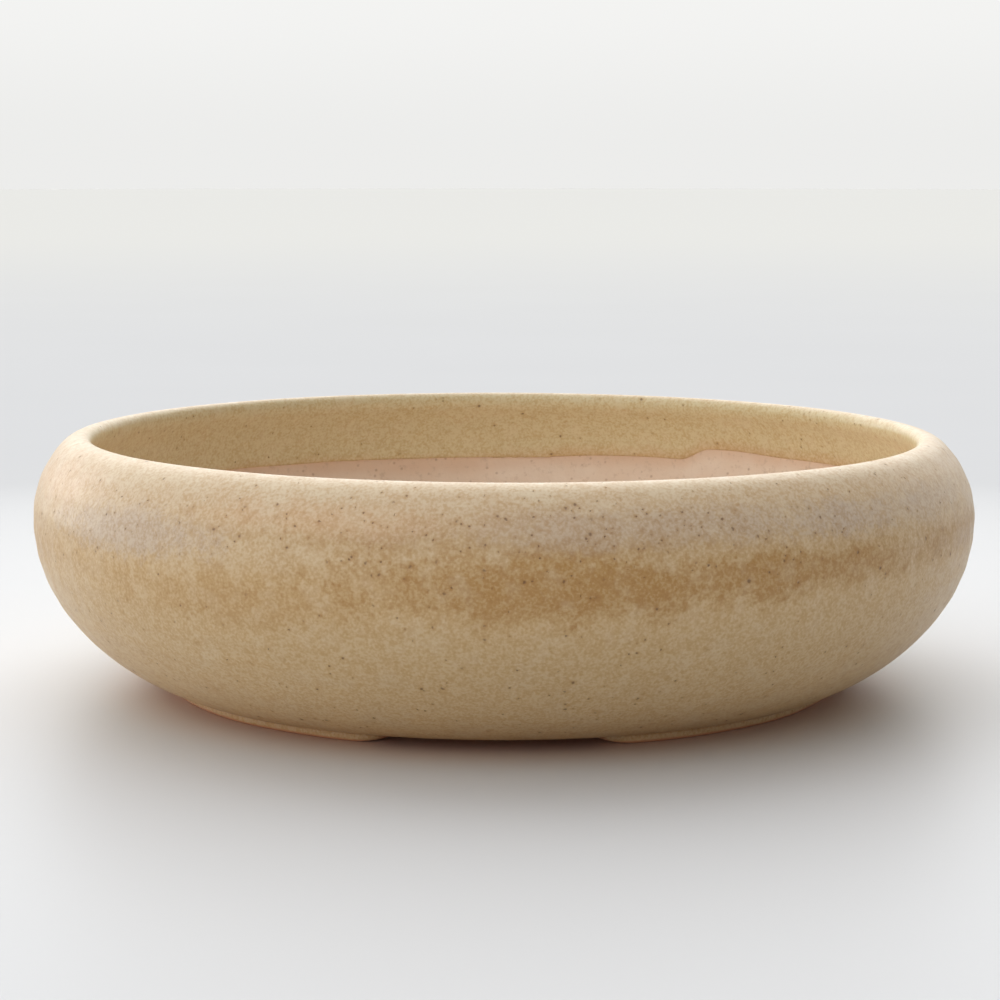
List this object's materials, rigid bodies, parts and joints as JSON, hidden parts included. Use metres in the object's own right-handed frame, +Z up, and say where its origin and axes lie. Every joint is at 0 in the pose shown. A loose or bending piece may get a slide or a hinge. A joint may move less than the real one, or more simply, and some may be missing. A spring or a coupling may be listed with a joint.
{
  "type": "bonsai pot",
  "caption": "Shallow round glazed bonsai pot with an in-turned rim, drain holes with net screens held by wire clips, and low curved feet.",
  "frame": {"origin": "on the table, at the centre of the circle that the three feet stand on", "axes": "+Z up along the pot's axis of revolution, -Y towards the front, where a gap between two feet is, and +X to the viewer's right"},
  "size_m": [0.16, 0.16, 0.043],
  "materials": {
    "fired_clay": "matte, unglazed, with fine grog",
    "glaze": "satin beige and ochre glaze with small pits",
    "black_net": "matte moulded net",
    "soft_wire": "brown anodised, satin"
  },
  "bodies": {
    "root": {"clay_bowl": "fired_clay", "glaze_coat": "glaze", "foot_1": "fired_clay", "drain_screen_1": "black_net", "screen_clip_1": "soft_wire", "foot_2": "fired_clay", "drain_screen_2": "black_net", "screen_clip_2": "soft_wire", "foot_3": "fired_clay", "drain_screen_3": "black_net", "screen_clip_3": "soft_wire"}
  },
  "joints": []
}
